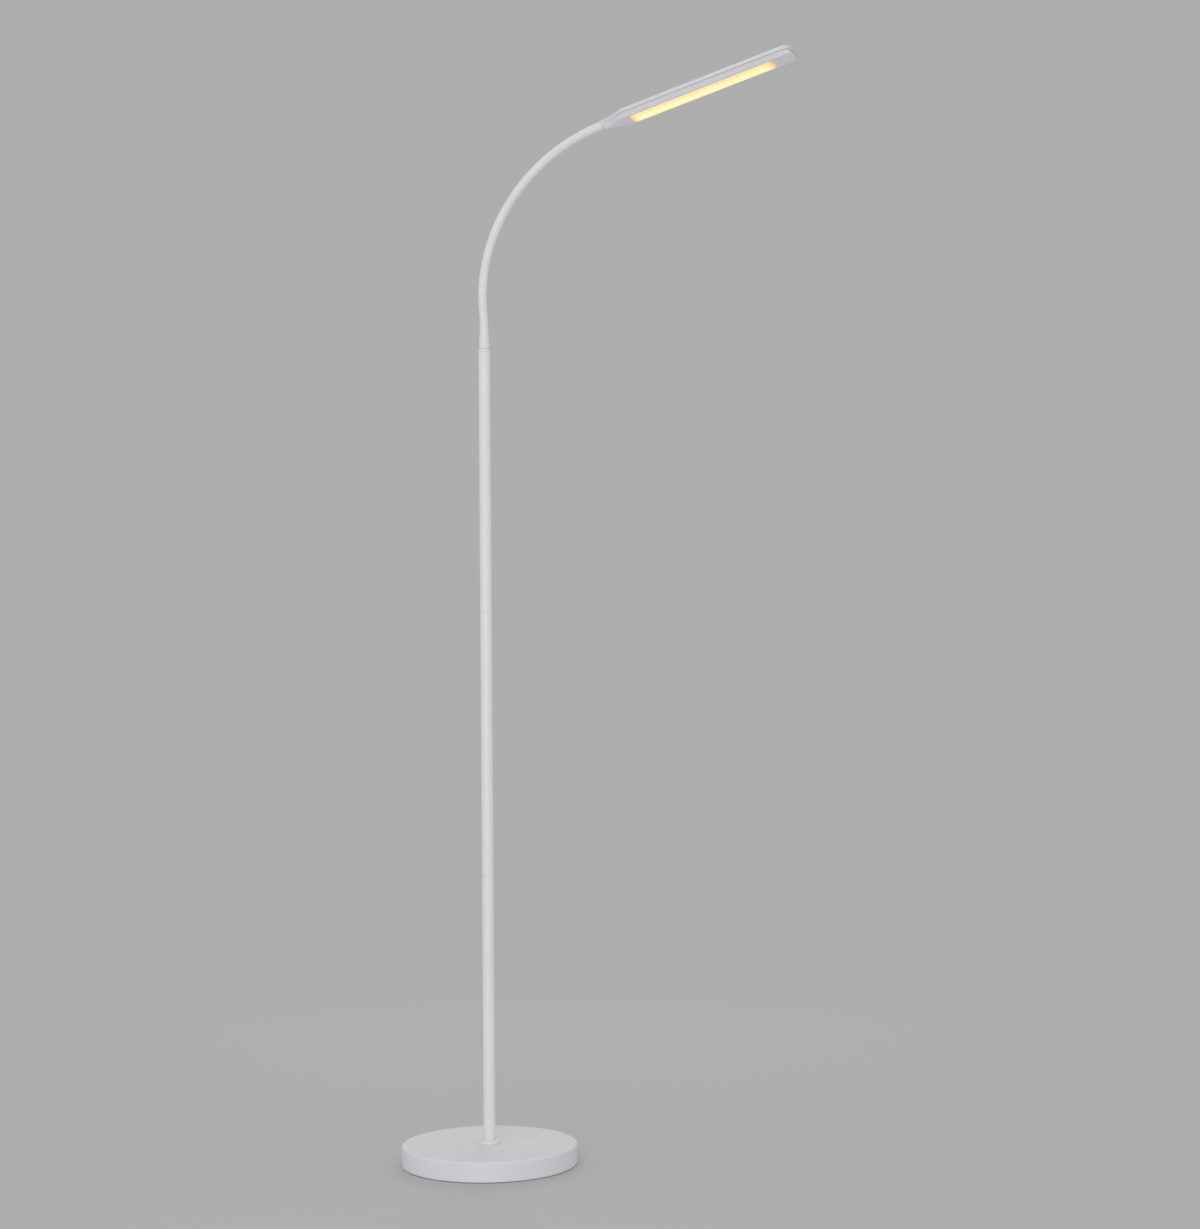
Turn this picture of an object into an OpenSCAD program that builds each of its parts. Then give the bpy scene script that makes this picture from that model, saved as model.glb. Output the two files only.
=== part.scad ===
// Gooseneck floor lamp with a slim LED head.
// Millimetres, +Z up, origin at the centre of the base's underside.
// At rest the neck bends in the XZ plane and the head reaches towards +X.

/* [Base] */
// Diameter of the round base
base_d = 230; // [180:1:280]
// Height of the base
base_h = 26; // [25:0.5:36]
// Wall of the base cover
base_wall = 2.5; // [2:0.1:3.5]
// Rounding of the cover's upper edge
base_edge_r = 2.5; // [1:0.1:3]
// Rounding of the cover's lower edge
base_foot_r = 1.2; // [0.5:0.1:1.5]
// How far the cover's rim stays above the floor
rim_lift = 0.6; // [0.3:0.1:1]
// Thickness of the floor pad
pad_t = 3; // [2.6:0.1:4]
// Thickness of the closing plate
plate_t = 1.5; // [1:0.1:2]
// Gap between the iron weight and the cover's wall
weight_gap = 7.5; // [5:0.5:30]
// Thickness of the iron weight
weight_t = 12; // [8:0.5:13]
// Radius of the circle that the cover screws stand on
screw_circle_r = 80; // [40:1:90]
// Number of cover screws
screw_count = 3; // [3:1:6]
// Shank diameter of the cover screws
cover_screw_d = 4; // [3:0.5:5]
// Diameter of the collar at the foot of the post
collar_d = 27; // [22:0.5:40]
// Height of that collar
collar_h = 4.5; // [3:0.5:8]
// Bore of the cord grommet
cord_bore_d = 6; // [5:0.5:8]

/* [Post] */
// Outer diameter of the post tubes
post_d = 16; // [15:0.5:20]
// Wall of the post tubes
post_wall = 1.2; // [1:0.1:1.5]
// Length of one tube section
section_l = 348.5; // [250:0.5:450]
// Thread diameter of the studs that join the sections
stud_d = 10; // [8:0.5:10]
// Length of thread that each stud has in its insert
stud_l = 18; // [12:1:30]
// Length of the inserts and plugs pressed into the tubes
insert_l = 22; // [20:1:40]
// Diameter of the lead inside the post
lead_d = 4.4; // [3:0.1:4.4]

/* [Gooseneck socket] */
// Diameter of the cap ring on the post
cap_d = 16.6; // [16.4:0.1:24]
// Height of the cap ring
cap_h = 4.2; // [2.5:0.1:6]
// Radius of the cap ring's top edge
cap_edge_r = 0.9; // [0.3:0.1:1.5]
// Height of the groove above the cap ring
groove_h = 0.5; // [0.3:0.1:2]
// Diameter of the socket's barrel
socket_d = 14.2; // [13.8:0.1:18]
// Height of the socket's barrel
barrel_h = 9.5; // [6:0.5:16]
// Height of the socket's rounded shoulder
curve_h = 11.8; // [6:0.1:20]

/* [Gooseneck] */
// Distance from one pivot to the next
stretch_l = 31.5; // [26:0.1:40]
// Bend of the first stretch at rest, negative away from the head
first_bend = -5; // [-8:0.5:-2]
// Bend of the second stretch at rest
second_bend = 9; // [4:0.1:12]
// Change of bend from each stretch to the next
bend_step = -0.2; // [-0.4:0.05:0.4]
// Outer diameter of the sleeve
sleeve_d = 11.6; // [11.4:0.1:12.6]
// Wall of the sleeve
sleeve_wall = 0.7; // [0.5:0.1:0.8]
// Outer diameter of the links
link_d = 8.4; // [8.2:0.1:8.4]
// Bore of the links, for the lead
link_bore_d = 4.9; // [4.5:0.1:5]
// Diameter of the link pivots
pivot_d = 2; // [1.6:0.1:2.4]
// Reach of a link's ring short of the pivot
knuckle_l = 3.6; // [3.2:0.1:5]
// Radius of the round ends of the link ears
ear_r = 2.2; // [1.8:0.1:2.4]

/* [Head] */
// Length of the head from ferrule to tip
head_l = 266; // [220:0.5:320]
// Length of the tapered root of the head
root_l = 32; // [28:1:45]
// Width of the head
head_w = 50; // [46:0.5:60]
// Diameter of the head's root at the ferrule
root_d = 15; // [14.5:0.5:18]
// Corner radius at the tip
tip_r = 12; // [9:0.5:18]
// Radius of the bowed end between the tip's corners
bow_r = 90; // [60:1:150]
// Depth of the flat underside below the neck's axis
flat_drop = 7; // [6.5:0.1:7.7]
// Depth of the bottom cover
cover_depth = 5; // [4.5:0.1:5.5]
// Height of the top shell's side wall
rim_h = 4.3; // [4:0.1:5]
// Rise of the crown above the side wall
crown_h = 1.5; // [0.8:0.1:2]
// Width of the crown's slope
crown_w = 4; // [2:0.1:6]
// Width of the lip round the bottom cover
lip_w = 1.4; // [1.2:0.1:2]
// Gap between the lip and the bottom cover
lip_gap = 0.5; // [0.3:0.1:0.8]
// Draw-in of the bottom cover's sloping sides
cover_draft = 6.1; // [4:0.1:6.7]
// Wall of the shells
shell_wall = 1.6; // [1.4:0.1:1.8]
// Length of the ferrule
ferrule_l = 4; // [3:0.5:8]
// Diameter of the ferrule
ferrule_d = 14; // [13:0.5:16]

/* [Light] */
// Start of the diffuser strip, from the end of the head's root
strip_gap = 6; // [4:0.5:12]
// Distance from the end of the diffuser strip to the tip
strip_tip_gap = 30; // [20:0.5:80]
// Distance from the side of the diffuser strip to the edge of the flat
strip_side = 3.5; // [3:0.1:7]
// Corner radius of the diffuser strip
strip_r = 3; // [1:0.5:5]
// How far the diffuser's edge stands below the cover
strip_proud = 0.5; // [0.2:0.1:1]
// Extra bulge along the middle of the diffuser
strip_bulge = 1.5; // [0.4:0.1:2]
// Number of LEDs behind the diffuser strip
led_count = 21; // [12:1:24]
// Distance from the end of the strip to the middle of the first LED
led_end = 7; // [5:0.5:12]
// Width of one LED
led_w = 3.5; // [2.5:0.5:6]
// Height of one LED
led_h = 1; // [0.6:0.1:1.2]
// Width of the LED board
board_w = 27; // [26:0.5:30]
// Thickness of the LED board
board_t = 1.4; // [1:0.1:1.6]
// Thickness of the heat spreader
spreader_t = 1.2; // [0.8:0.1:1.4]

/* [Switch] */
// Distance of the button from the ferrule
button_x = 22; // [20:0.5:23]
// Diameter of the button
button_d = 9; // [7:0.5:9]
// How far the button stands above the shell
button_proud = 0.9; // [0.8:0.1:1.5]
// Travel of the button
button_travel = 0.8; // [0.4:0.1:0.8]
// Side of the square switch body
switch_w = 6; // [4:0.5:6]

/* [Fits] */
// Clearance between pieces that are fixed to each other
fit = 0.05; // [0.03:0.01:0.1]
// Clearance beside pieces that slide or turn
slip = 0.3; // [0.2:0.05:0.4]
// Clearance of the link pivots
pivot_fit = 0.06; // [0.04:0.01:0.08]
// Gap between one stretch of the sleeve and the next
sleeve_gap = 0.06; // [0.04:0.01:0.1]

/* [Hidden] */
$fn = 64;
hull_fn = 32;
bow_fn = 180;
thin = 0.02;
over = 1;
white = [0.93, 0.93, 0.94];
steel = [0.72, 0.73, 0.75];
iron = [0.30, 0.30, 0.32];
brass = [0.80, 0.66, 0.38];
rubber = [0.16, 0.16, 0.17];
green = [0.16, 0.42, 0.28];

// Levels inside the base
base_r = base_d / 2;
inner_r = base_r - base_wall;
pad_r = inner_r - slip;
plate_z = pad_t;
ceiling_z = base_h - base_wall;
weight_z = ceiling_z - weight_t;
weight_r = inner_r - weight_gap;
nipple_r = stud_d / 2;
nipple_bore_r = 3.2;
washer_t = 1.5;
washer_r = 12;
nut_h = 4;
nut_r = 9.5;
boss_r = 5;
cover_screw_r = cover_screw_d / 2;
screw_head_r = cover_screw_d * 0.85;
screw_head_h = 1.4;
screw_head_gap = 0.2;
screw_l = 12;
nipple_tail = 0.5;
collar_edge = 1.2;
grommet_wall = 1.5;
grommet_flange = 2;
grommet_r = cord_bore_d / 2 + grommet_wall;
grommet_flange_r = grommet_r + grommet_flange;
grommet_inner_t = 2;
grommet_outer_t = 1.5;
grommet_seat = 0.5;
grommet_z = plate_z + plate_t + grommet_flange_r + grommet_seat;
grommet_y = inner_r - grommet_seat - grommet_inner_t;
grommet_l = base_r + grommet_outer_t - grommet_y;

// Levels of the post
section_count = 3;
post_r = post_d / 2;
tube_bore_r = post_r - post_wall;
insert_r = tube_bore_r - fit;
post_z = base_h;
post_top_z = post_z + section_count * section_l;
stud_bore_r = 3;
lead_r = lead_d / 2;
lead_gap = 1;
lead_z = plate_z + plate_t + lead_gap;
lead_lap = 5;

// Levels of the socket
groove_z = post_top_z + cap_h;
barrel_z = groove_z + groove_h;
curve_z = barrel_z + barrel_h;
neck_z = curve_z + curve_h;
spigot_r = 5.7;
spigot_hold = 18;
spigot_l = cap_h + groove_h + spigot_hold;
sleeve_r = sleeve_d / 2;
mouth_lip = 0.15;
curve_steps = 8;
mouth_r = sleeve_r + mouth_lip;
link_r = link_d / 2;
link_bore_r = link_bore_d / 2;
pivot_r = pivot_d / 2;
root_seat = 2;
root_link_z = barrel_z + root_seat;
stretch_count = 11;

// Ears of the links: an inner pair turns between an outer pair
ear_gap = 0.2;
inner_ear_t = 0.65;
inner_ear_y = link_bore_r;
outer_ear_y = inner_ear_y + inner_ear_t + ear_gap;

// The resting curve: each stretch is an arc tangent to two links
function bend(i) = i == 1 ? first_bend : second_bend + (i - 2) * bend_step;
function heading(i) = i == 0 ? 0 : heading(i - 1) + bend(i);
function along(i) = [sin(heading(i)), 0, cos(heading(i))];
function pivot(i) = i == 1 ? [0, 0, neck_z + stretch_l / 2] : pivot(i - 1) + stretch_l * along(i - 1);
function middle(i) = i == 0 ? [0, 0, neck_z] : pivot(i) + stretch_l / 2 * along(i);
function pivot_heading(i) = (heading(i - 1) + heading(i)) / 2;
// Odd pivots bend the neck in its own plane, even ones sideways
function sideways(i) = i % 2 == 0;

// Levels of the head, in its own frame: X along it, Z up from the neck's axis
root_x = ferrule_l;
shoulder_x = root_x + root_l;
tip_x = root_x + head_l;
flat_z = -flat_drop;
seam_z = flat_z + cover_depth;
rim_z = seam_z + rim_h;
crown_z = rim_z + crown_h;
top_wall = 1.8;
roof_z = crown_z - top_wall;
floor_z = flat_z + shell_wall;
root_r = root_d / 2;
bulkhead_l = 3;
hollow_x = root_x + bulkhead_l;
hollow_r = root_r - shell_wall;
lap = 0.1;
trim = 3;
cover_inset = lip_w + lip_gap;
flat_inset = cover_inset + cover_draft;
cover_w = head_w / 2 - cover_inset;
flat_w = head_w / 2 - flat_inset;
draft_above = cover_draft * trim / cover_depth;
end_draft = 0.8;
flat_reach = cover_draft - end_draft;
reach_above = flat_reach * trim / cover_depth;
least_r = 1;
tongue_t = 1.2;
tongue_root = 0.4;
tongue_x = shoulder_x + 2;
tongue_inset = cover_inset + tongue_root * cover_draft / cover_depth + lap;
thread_r = 3.5;
lock_nut_h = 3;
lock_nut_af = 9;
thread_tail = 1;
thread_l = ferrule_l + bulkhead_l + lock_nut_h + thread_tail;

// Levels of the light
strip_x = shoulder_x + strip_gap;
strip_l = tip_x - strip_tip_gap - strip_x;
strip_w = 2 * (flat_w - strip_side);
flange_gap = 0.3;
flange_w = strip_side - shell_wall - flange_gap;
flange_t = 1;
rib_w = 4;
rib_y = 10;
rib_h = 1.6;
spreader_z = roof_z - rib_h - spreader_t;
board_z = spreader_z - board_t;
board_inset = 2;
led_pitch = (strip_l - 2 * led_end) / (led_count - 1);
led_x0 = strip_x + led_end;
board_screw_r = 1.2;
board_screw_head_r = 2.2;
board_screw_head_h = 1;
screw_tip_gap = 0.5;
board_screw_x = [led_x0 + led_pitch / 2, led_x0 + (led_count - 1.5) * led_pitch];

// Levels of the switch
control_t = 1.2;
control_z = -3;
control_x = hollow_x + 2 * lock_nut_h;
control_l = 20;
control_w = 12;
post_pad_r = 1.6;
pad_root = 0.4;
post_pads = [control_x + post_pad_r, control_x + control_l - post_pad_r];
button_r = button_d / 2;
button_flange_w = 1.2;
button_flange_h = 0.9;
button_stop_gap = 0.1;
dish_r = 22;
dish_depth = 0.3;
button_top_z = crown_z + (root_r - crown_z) * (shoulder_x - button_x) / root_l + button_proud;
button_roof_z = roof_z + (hollow_r - roof_z) * (shoulder_x - button_x) / (shoulder_x - hollow_x);
button_slope = (hollow_r - roof_z) / (shoulder_x - hollow_x);
button_flange_z = button_roof_z - (button_r + button_flange_w) * button_slope - button_stop_gap - button_flange_h;
switch_z = control_z + control_t;
switch_top_z = button_flange_z - button_travel - slip;
plunger_r = 1.7;
plunger_h = 0.5;
head_lead_r = 1.2;
head_lead_z = switch_z + fit + head_lead_r;
head_lead_x = 1;
head_lead_gap = 0.5;

links = [for (i = [1:stretch_count - 1]) i];
stretches = [for (i = [1:stretch_count]) i];

// Shared shapes

module tube(r, bore, z0, z1) {
  translate([0, 0, z0]) difference() {
    cylinder(r = r, h = z1 - z0);
    translate([0, 0, -over]) cylinder(r = bore, h = z1 - z0 + 2 * over);
  }
}

module on_screw_circle() {
  for (k = [0:screw_count - 1]) rotate([0, 0, 360 * k / screw_count - 90])
    translate([screw_circle_r, 0, 0]) children();
}

module hex_bar(r, h) {
  cylinder(r = r, h = h, $fn = 6);
}

// Frame of a pivot, its axis along Y and the neck running up Z
module at_pivot(i) {
  translate(pivot(i)) rotate([0, pivot_heading(i), 0]) rotate([0, 0, sideways(i) ? 90 : 0]) children();
}

module at_link(i) {
  translate(i == 0 ? [0, 0, pivot(1)[2] - stretch_l] : pivot(i)) rotate([0, heading(i), 0]) children();
}

module at_head() {
  translate(middle(stretch_count)) rotate([0, heading(stretch_count) - 90, 0]) children();
}

// Base

module base_outline() {
  square([base_r - base_edge_r, base_h]);
  translate([0, rim_lift + base_foot_r]) square([base_r, base_h - base_edge_r - rim_lift - base_foot_r]);
  translate([base_r - base_edge_r, base_h - base_edge_r]) circle(r = base_edge_r);
  translate([base_r - base_foot_r, rim_lift + base_foot_r]) circle(r = base_foot_r);
}

module base_cover() {
  color(white) difference() {
    union() {
      difference() {
        rotate_extrude($fn = 128) intersection() {
          base_outline();
          translate([0, rim_lift]) square([base_r + over, base_h]);
        }
        translate([0, 0, -over]) cylinder(r = inner_r, h = ceiling_z + over, $fn = 128);
      }
      on_screw_circle() translate([0, 0, plate_z + plate_t])
        cylinder(r = boss_r, h = ceiling_z - plate_z - plate_t + over);
    }
    translate([0, 0, ceiling_z - over]) cylinder(r = nipple_r + fit, h = base_wall + 2 * over);
    on_screw_circle() translate([0, 0, plate_z]) cylinder(r = cover_screw_r + fit, h = screw_l + over);
    translate([0, grommet_y, grommet_z]) rotate([-90, 0, 0]) cylinder(r = grommet_r + fit, h = grommet_l + over);
  }
}

module cord_grommet() {
  color(rubber) translate([0, grommet_y, grommet_z]) rotate([-90, 0, 0]) difference() {
    union() {
      cylinder(r = grommet_r, h = grommet_l);
      cylinder(r = grommet_flange_r, h = grommet_inner_t);
      translate([0, 0, grommet_l - grommet_outer_t]) cylinder(r = grommet_flange_r, h = grommet_outer_t);
    }
    translate([0, 0, -over]) cylinder(r = cord_bore_d / 2, h = grommet_l + 2 * over);
  }
}

module base_pad() {
  color(rubber) difference() {
    cylinder(r = pad_r, h = pad_t, $fn = 128);
    on_screw_circle() translate([0, 0, pad_t - screw_head_h - screw_head_gap])
      cylinder(r = screw_head_r + slip, h = screw_head_h + over);
  }
}

module base_plate() {
  color(steel) translate([0, 0, plate_z]) difference() {
    cylinder(r = pad_r, h = plate_t, $fn = 128);
    on_screw_circle() translate([0, 0, -over]) cylinder(r = cover_screw_r + fit, h = plate_t + 2 * over);
  }
}

module base_weight() {
  color(iron) translate([0, 0, weight_z]) difference() {
    cylinder(r = weight_r, h = weight_t, $fn = 128);
    translate([0, 0, -over]) cylinder(r = nipple_r + fit, h = weight_t + 2 * over);
    on_screw_circle() translate([0, 0, -over]) cylinder(r = boss_r + slip, h = weight_t + 2 * over);
  }
}

module base_screws() {
  color(steel) on_screw_circle() {
    translate([0, 0, plate_z - screw_head_h]) cylinder(r = screw_head_r, h = screw_head_h);
    translate([0, 0, plate_z - screw_head_h]) cylinder(r = cover_screw_r, h = screw_head_h + screw_l);
  }
}

module base_nipple() {
  color(brass) tube(nipple_r, nipple_bore_r, weight_z - washer_t - nut_h - nipple_tail, post_z + stud_l);
}

module base_washer() {
  color(steel) tube(washer_r, nipple_r + fit, weight_z - washer_t, weight_z);
}

module base_nut() {
  color(steel) translate([0, 0, weight_z - washer_t - nut_h]) difference() {
    hex_bar(nut_r, nut_h);
    translate([0, 0, -over]) cylinder(r = nipple_r + fit, h = nut_h + 2 * over);
  }
}

// Half section of a disc with a round top edge
module rounded_half(r, h, edge) {
  square([r - edge, h]);
  square([r, h - edge]);
  translate([r - edge, h - edge]) circle(r = edge);
}

module post_collar() {
  color(white) translate([0, 0, base_h]) rotate_extrude() difference() {
    rounded_half(collar_d / 2, collar_h, collar_edge);
    translate([0, -over]) square([post_r + fit, collar_h + 2 * over]);
  }
}

// Post

function section_z(k) = post_z + (k - 1) * section_l;

module post_section(k) {
  color(white) tube(post_r, tube_bore_r, section_z(k), section_z(k + 1));
}

module lower_post() {
  post_section(1);
}

module middle_post() {
  for (k = [2:section_count - 1]) post_section(k);
}

module upper_post() {
  post_section(section_count);
}

module post_inserts() {
  color(brass) for (k = [1:section_count]) tube(insert_r, nipple_r + fit, section_z(k), section_z(k) + insert_l);
}

module post_joiners() {
  color(steel) for (k = [2:section_count]) difference() {
    union() {
      translate([0, 0, section_z(k) - insert_l]) cylinder(r = insert_r, h = insert_l);
      translate([0, 0, section_z(k) - over]) cylinder(r = nipple_r, h = stud_l + over);
    }
    translate([0, 0, section_z(k) - insert_l - over]) cylinder(r = stud_bore_r, h = insert_l + stud_l + 2 * over);
  }
}

module post_lead() {
  color(rubber) translate([0, 0, lead_z]) cylinder(r = lead_r, h = root_link_z + lead_lap - lead_z);
}

// Gooseneck

module post_cap() {
  color(white) difference() {
    union() {
      translate([0, 0, post_top_z - insert_l]) cylinder(r = insert_r, h = insert_l + over);
      translate([0, 0, post_top_z]) rotate_extrude() rounded_half(cap_d / 2, cap_h, cap_edge_r);
    }
    translate([0, 0, post_top_z - insert_l - over]) cylinder(r = spigot_r + fit, h = insert_l + cap_h + 2 * over);
  }
}

// Edge of the socket's shoulder, which leaves the barrel without a kink and closes in to the mouth
function shoulder_point(rise) = [socket_d / 2 - (socket_d / 2 - mouth_r) * pow(rise, 2), curve_h * rise];

module neck_socket() {
  color(white) difference() {
    union() {
      translate([0, 0, barrel_z - spigot_l]) cylinder(r = spigot_r, h = spigot_l + over);
      translate([0, 0, barrel_z]) cylinder(d = socket_d, h = barrel_h);
      translate([0, 0, curve_z]) rotate_extrude() polygon(concat(
        [[0, 0]], [for (k = [0:curve_steps]) shoulder_point(k / curve_steps)], [[0, curve_h]]));
    }
    translate([0, 0, root_link_z]) cylinder(r = link_r + fit, h = neck_z);
    translate([0, 0, post_z]) cylinder(r = link_bore_r, h = neck_z);
  }
}

// Outer ears with pivot pins, on the link before a pivot
module outer_ears() {
  for (side = [0, 180]) rotate([0, 0, side]) {
    intersection() {
      translate([0, outer_ear_y, 0]) rotate([-90, 0, 0]) union() {
        cylinder(r = ear_r, h = link_r);
        translate([-ear_r, 0, 0]) cube([2 * ear_r, knuckle_l + over, link_r]);
      }
      translate([0, 0, -knuckle_l - 2 * over]) cylinder(r = link_r, h = knuckle_l + ear_r + 4 * over);
    }
    translate([0, inner_ear_y + fit, 0]) rotate([-90, 0, 0])
      cylinder(r = pivot_r, h = outer_ear_y - inner_ear_y + fit);
  }
}

// Inner ears with pivot bores, on the link after a pivot
module inner_ears() {
  for (side = [0, 180]) rotate([0, 0, side]) translate([0, inner_ear_y, 0]) rotate([-90, 0, 0]) difference() {
    union() {
      cylinder(r = ear_r, h = inner_ear_t);
      translate([-ear_r, -knuckle_l - over, 0]) cube([2 * ear_r, knuckle_l + over, inner_ear_t]);
    }
    translate([0, 0, -over]) cylinder(r = pivot_r + pivot_fit, h = inner_ear_t + 2 * over);
  }
}

module neck_link(i) {
  color(steel) {
    at_link(i) tube(link_r, link_bore_r, knuckle_l, stretch_l - knuckle_l);
    at_pivot(i) inner_ears();
    at_pivot(i + 1) outer_ears();
  }
}

module neck_root() {
  color(steel) {
    tube(link_r, link_bore_r, root_link_z, pivot(1)[2] - knuckle_l);
    at_pivot(1) outer_ears();
  }
}

module neck_tip() {
  color(steel) {
    at_link(stretch_count) tube(link_r, link_bore_r, knuckle_l, stretch_l / 2);
    at_pivot(stretch_count) inner_ears();
    at_head() rotate([0, 90, 0]) tube(thread_r, link_bore_r, -over, thread_l);
  }
}

module neck_sleeve(i) {
  arc_r = stretch_l / 2 / tan(abs(bend(i)) / 2);
  side = bend(i) > 0 ? 1 : 0;
  gap_turn = sleeve_gap / arc_r * 180 / PI;
  color(white) translate(middle(i - 1)) rotate([0, heading(i - 1), 0]) mirror([side, 0, 0]) translate([-arc_r, 0, 0])
    rotate([90, 0, 0]) rotate([0, 0, gap_turn / 2]) rotate_extrude(angle = abs(bend(i)) - gap_turn)
      translate([arc_r, 0]) difference() {
        circle(r = sleeve_r);
        circle(r = sleeve_r - sleeve_wall);
      }
}

// Head

module neck_ferrule() {
  color(white) at_head() rotate([0, 90, 0]) tube(ferrule_d / 2, thread_r + fit, 0, ferrule_l);
}

module neck_nut() {
  color(steel) at_head() translate([hollow_x, 0, 0]) rotate([0, 90, 0]) difference() {
    rotate([0, 0, 30]) hex_bar(lock_nut_af / sqrt(3), lock_nut_h);
    translate([0, 0, -over]) cylinder(r = thread_r + fit, h = lock_nut_h + 2 * over);
  }
}

// Plan of the paddle, drawn in by inset at its sides, and at its tip by that less reach
module paddle(inset, x0 = shoulder_x, reach = 0) {
  r = max(tip_r - inset, least_r);
  w = head_w / 2 - inset;
  end_r = bow_r - inset + reach;
  corner_y = w - r;
  corner_x = tip_x - bow_r + sqrt(pow(end_r - r, 2) - pow(corner_y, 2));
  meet_y = corner_y * end_r / (end_r - r);
  translate([x0, -w]) square([corner_x - x0, 2 * w]);
  for (side = [-1, 1]) translate([corner_x, side * corner_y]) circle(r = r, $fn = hull_fn);
  intersection() {
    translate([tip_x - bow_r, 0]) circle(r = end_r, $fn = bow_fn);
    translate([corner_x, -meet_y]) square([tip_x - corner_x, 2 * meet_y]);
  }
}

module plate(z0, z1, inset, x0 = shoulder_x, reach = 0) {
  translate([0, 0, z0]) linear_extrude(z1 - z0) paddle(inset, x0, reach);
}

// Slice of a cylinder across the root, between two levels
module root_disc(x, r, z0, z1) {
  intersection() {
    translate([x, 0, 0]) rotate([0, 90, 0]) cylinder(r = r, h = thin, $fn = hull_fn);
    translate([x - over, -2 * r, z0]) cube([2 * over, 4 * r, z1 - z0]);
  }
}

// Thin slab across the head at a shoulder, w to each side
module slab(x, w, z0, z1) {
  translate([x, -w, z0]) cube([thin, 2 * w, z1 - z0]);
}

module head_top_shell() {
  w = head_w / 2;
  color(white) at_head() difference() {
    union() {
      difference() {
        top_form();
        plate(seam_z - 2 * trim, roof_z, lip_w);
        hull() {
          root_disc(hollow_x, hollow_r, seam_z - trim, hollow_r);
          slab(shoulder_x + lap, w - lip_w - lap, seam_z - trim, roof_z - lap);
        }
      }
      for (side = [-1, 1]) translate([strip_x, side * rib_y - rib_w / 2, spreader_z + spreader_t])
        cube([strip_l, rib_w, rib_h + lap]);
    }
    translate([0, -head_w, seam_z - 3 * trim]) cube([tip_x + over, 2 * head_w, 3 * trim]);
    translate([-over, 0, 0]) rotate([0, 90, 0]) cylinder(r = thread_r + fit, h = hollow_x + 2 * over);
    translate([button_x, 0, 0]) cylinder(r = button_r + slip, h = root_d);
    screw_places() translate([0, 0, board_z]) cylinder(r = board_screw_r + fit, h = roof_z - board_z);
  }
}

module top_form() {
  w = head_w / 2;
  hull() {
    root_disc(root_x, root_r, seam_z - trim, root_r);
    slab(shoulder_x + lap, w - lap, seam_z - trim, rim_z - lap);
    slab(shoulder_x + lap, w - crown_w - lap, rim_z, crown_z - lap);
  }
  hull() {
    plate(seam_z - 1.5 * trim, rim_z, 0);
    plate(crown_z - thin, crown_z, crown_w);
  }
}

module head_bottom_cover() {
  color(white) at_head() difference() {
    union() {
      difference() {
        cover_form();
        hull() {
          plate(seam_z + trim, seam_z + trim + thin, cover_inset + shell_wall - draft_above, reach = -reach_above);
          plate(floor_z, floor_z + thin, flat_inset + shell_wall, reach = flat_reach);
        }
        hull() {
          root_disc(hollow_x, hollow_r, -root_r, seam_z + trim);
          slab(shoulder_x + lap, cover_w - shell_wall - lap, seam_z, seam_z + trim);
          slab(shoulder_x + lap, flat_w - shell_wall - lap, floor_z + lap, floor_z + lap + thin);
        }
      }
      difference() {
        plate(seam_z - tongue_root, roof_z, tongue_inset, tongue_x);
        plate(seam_z - tongue_root - over, roof_z + over, tongue_inset + tongue_t, tongue_x - over);
      }
      for (x = post_pads) translate([x, 0, flat_z + pad_root])
        cylinder(r = post_pad_r, h = control_z - flat_z - pad_root);
    }
    translate([-over, 0, 0]) rotate([0, 90, 0]) cylinder(r = thread_r + fit, h = hollow_x + 2 * over);
    translate([0, 0, flat_z - over]) linear_extrude(shell_wall + 2 * over) strip_plan(fit);
  }
}

module cover_form() {
  hull() {
    root_disc(root_x, root_r, -root_r, seam_z);
    slab(shoulder_x + lap, cover_w - lap, seam_z - thin, seam_z);
    slab(shoulder_x + lap, flat_w - lap, flat_z + lap, flat_z + lap + thin);
  }
  hull() {
    plate(seam_z - thin, seam_z, cover_inset);
    plate(flat_z, flat_z + thin, flat_inset, reach = flat_reach);
  }
}

// Plan of the diffuser strip, grown by extra all round
module strip_plan(extra) {
  r = strip_r + extra;
  x0 = strip_x - extra;
  l = strip_l + 2 * extra;
  w = strip_w / 2 + extra;
  translate([x0 + r, -w]) square([l - 2 * r, 2 * w]);
  translate([x0, r - w]) square([l, 2 * (w - r)]);
  for (x = [x0 + r, x0 + l - r], side = [-1, 1]) translate([x, side * (w - r)]) circle(r = r);
}

module diffuser() {
  lens_r = (pow(strip_w / 2, 2) + pow(strip_bulge, 2)) / (2 * strip_bulge);
  low_z = flat_z - strip_proud - strip_bulge;
  color([1, 0.94, 0.72]) at_head() {
    intersection() {
      translate([0, 0, low_z - over]) linear_extrude(floor_z - low_z + over + flange_t / 2) strip_plan(0);
      translate([strip_x - over, 0, low_z + lens_r]) rotate([0, 90, 0])
        cylinder(r = lens_r, h = strip_l + 2 * over, $fn = 128);
    }
    translate([0, 0, floor_z]) linear_extrude(flange_t) strip_plan(flange_w);
  }
}

// Plan of the LED board and its heat spreader
module board_plan() {
  translate([strip_x + board_inset, -board_w / 2]) square([strip_l - 2 * board_inset, board_w]);
}

module screw_places() {
  for (x = board_screw_x, side = [-1, 1]) translate([x, side * rib_y, 0]) children();
}

module led_board() {
  color([0.95, 0.95, 0.93]) at_head() difference() {
    translate([0, 0, board_z]) linear_extrude(board_t) board_plan();
    screw_places() translate([0, 0, board_z - over]) cylinder(r = board_screw_r + fit, h = board_t + 2 * over);
  }
}

module heat_spreader() {
  color(steel) at_head() difference() {
    translate([0, 0, spreader_z]) linear_extrude(spreader_t) board_plan();
    screw_places() translate([0, 0, spreader_z - over]) cylinder(r = board_screw_r + fit, h = spreader_t + 2 * over);
  }
}

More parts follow.
